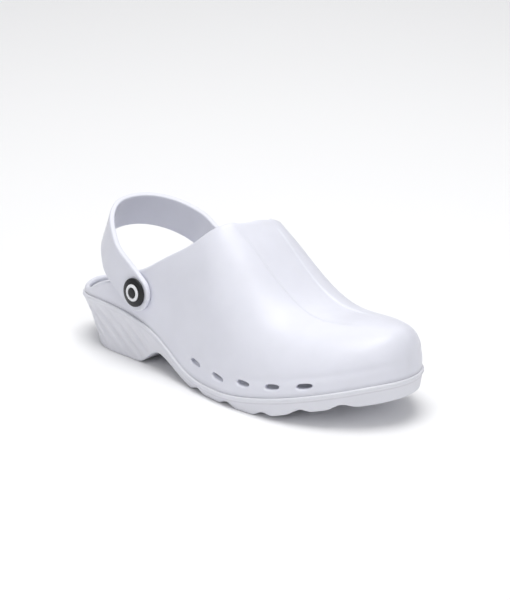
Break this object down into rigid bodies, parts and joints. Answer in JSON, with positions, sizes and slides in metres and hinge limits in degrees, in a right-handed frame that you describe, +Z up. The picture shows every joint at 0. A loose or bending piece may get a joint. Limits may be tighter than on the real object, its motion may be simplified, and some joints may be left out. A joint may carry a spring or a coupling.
{
  "type": "moulded clog",
  "caption": "Closed-toe moulded work clog for the right foot, hollow and open at the heel, with side vents, a heeled sole and a heel strap held by buttons.",
  "frame": {"origin": "middle of the whole box, on the floor", "axes": "+X to the toe, +Y to the inner side of the foot, +Z up"},
  "size_m": [0.272, 0.1032, 0.103],
  "materials": {
    "upper_white": "satin",
    "sole_white": "matte",
    "footbed_white": "matte",
    "strap_white": "satin",
    "button_black": "gloss",
    "inlay_white": "gloss"
  },
  "bodies": {
    "root": {"upper": "upper_white", "sole": "sole_white", "insole": "footbed_white", "heel_strap": "strap_white", "button_lateral": "button_black", "button_medial": "button_black", "button_back_lateral": "button_black", "button_back_medial": "button_black", "inlay_lateral": "inlay_white", "inlay_medial": "inlay_white"}
  },
  "joints": []
}
